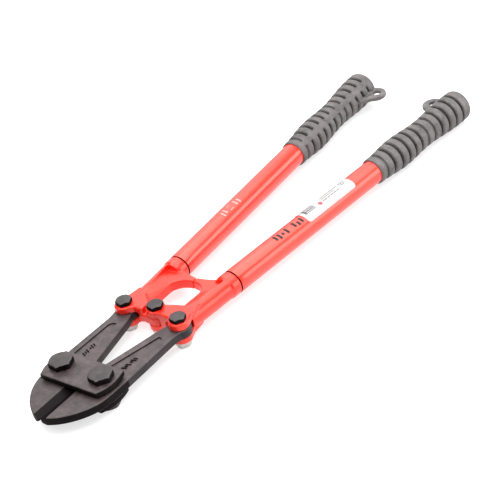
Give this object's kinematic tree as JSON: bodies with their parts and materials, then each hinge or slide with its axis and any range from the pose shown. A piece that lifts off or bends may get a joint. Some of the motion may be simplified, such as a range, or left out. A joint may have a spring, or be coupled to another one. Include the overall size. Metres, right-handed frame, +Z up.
{
  "type": "bolt cutters",
  "caption": "Long-handled compound-lever bolt cutters with bevelled jaws between bolted plates, forged levers, tubular handles and ribbed grips with hanging loops.",
  "frame": {"origin": "centre of the underside of the bounding box, the surface the tool rests on when it lies flat", "axes": "X across the tool from its left handle to its right one, Y from the jaws to the grips, Z up out of the flat side; jaws closed"},
  "size_m": [0.1568, 0.5921, 0.035],
  "materials": {
    "red_paint": "glossy enamel over forged and tubular steel",
    "jaw_steel": "black-oxide forged tool steel, satin",
    "black_steel": "black-oxide steel, satin",
    "zinc_steel": "bright zinc plate",
    "nylon": "natural nylon locking ring",
    "grip_rubber": "moulded rubber, fine matt texture",
    "label_film": null
  },
  "bodies": {
    "jaw_head": {"top_jaw_plate": "black_steel", "bottom_jaw_plate": "black_steel", "left_jaw_bolt": "black_steel", "left_jaw_nut": "black_steel", "right_jaw_bolt": "black_steel", "right_jaw_nut": "black_steel"},
    "left_jaw": {"left_jaw": "jaw_steel"},
    "right_jaw": {"right_jaw": "jaw_steel"},
    "left_lever": {"left_lever": "red_paint", "left_handle_tube": "red_paint", "left_grip": "grip_rubber", "left_clevis_bolt": "black_steel", "left_clevis_nut": "zinc_steel", "left_clevis_nut_ring": "nylon"},
    "right_lever": {"right_lever": "red_paint", "right_handle_tube": "red_paint", "right_grip": "grip_rubber", "right_clevis_bolt": "black_steel", "right_clevis_nut": "zinc_steel", "right_clevis_nut_ring": "nylon", "centre_bolt": "black_steel", "centre_nut": "zinc_steel", "centre_nut_ring": "nylon", "size_label": "label_film"}
  },
  "joints": [
    {"name": "left_jaw_pivot", "type": "hinge", "parent": "jaw_head", "child": "left_jaw", "pos_m": [-0.0244, -0.2369, 0.0175], "axis": [0, 0, 1], "range_deg": [-5.3, 0]},
    {"name": "right_jaw_pivot", "type": "hinge", "parent": "jaw_head", "child": "right_jaw", "pos_m": [0.0244, -0.2369, 0.0175], "axis": [0, 0, 1], "range_deg": [0, 5.3]},
    {"name": "left_lever_pivot", "type": "hinge", "parent": "left_jaw", "child": "left_lever", "pos_m": [-0.0333, -0.14, 0.0175], "axis": [0, 0, 1], "range_deg": [0, 40]},
    {"name": "right_lever_pivot", "type": "hinge", "parent": "right_jaw", "child": "right_lever", "pos_m": [0.0333, -0.14, 0.0175], "axis": [0, 0, 1], "range_deg": [-40, 0]}
  ],
  "couplings": [
    {"joint": "left_jaw_pivot", "follows": "left_lever_pivot", "ratio": -0.1313},
    {"joint": "right_jaw_pivot", "follows": "left_lever_pivot", "ratio": 0.1313},
    {"joint": "right_lever_pivot", "follows": "left_lever_pivot", "ratio": -1}
  ]
}
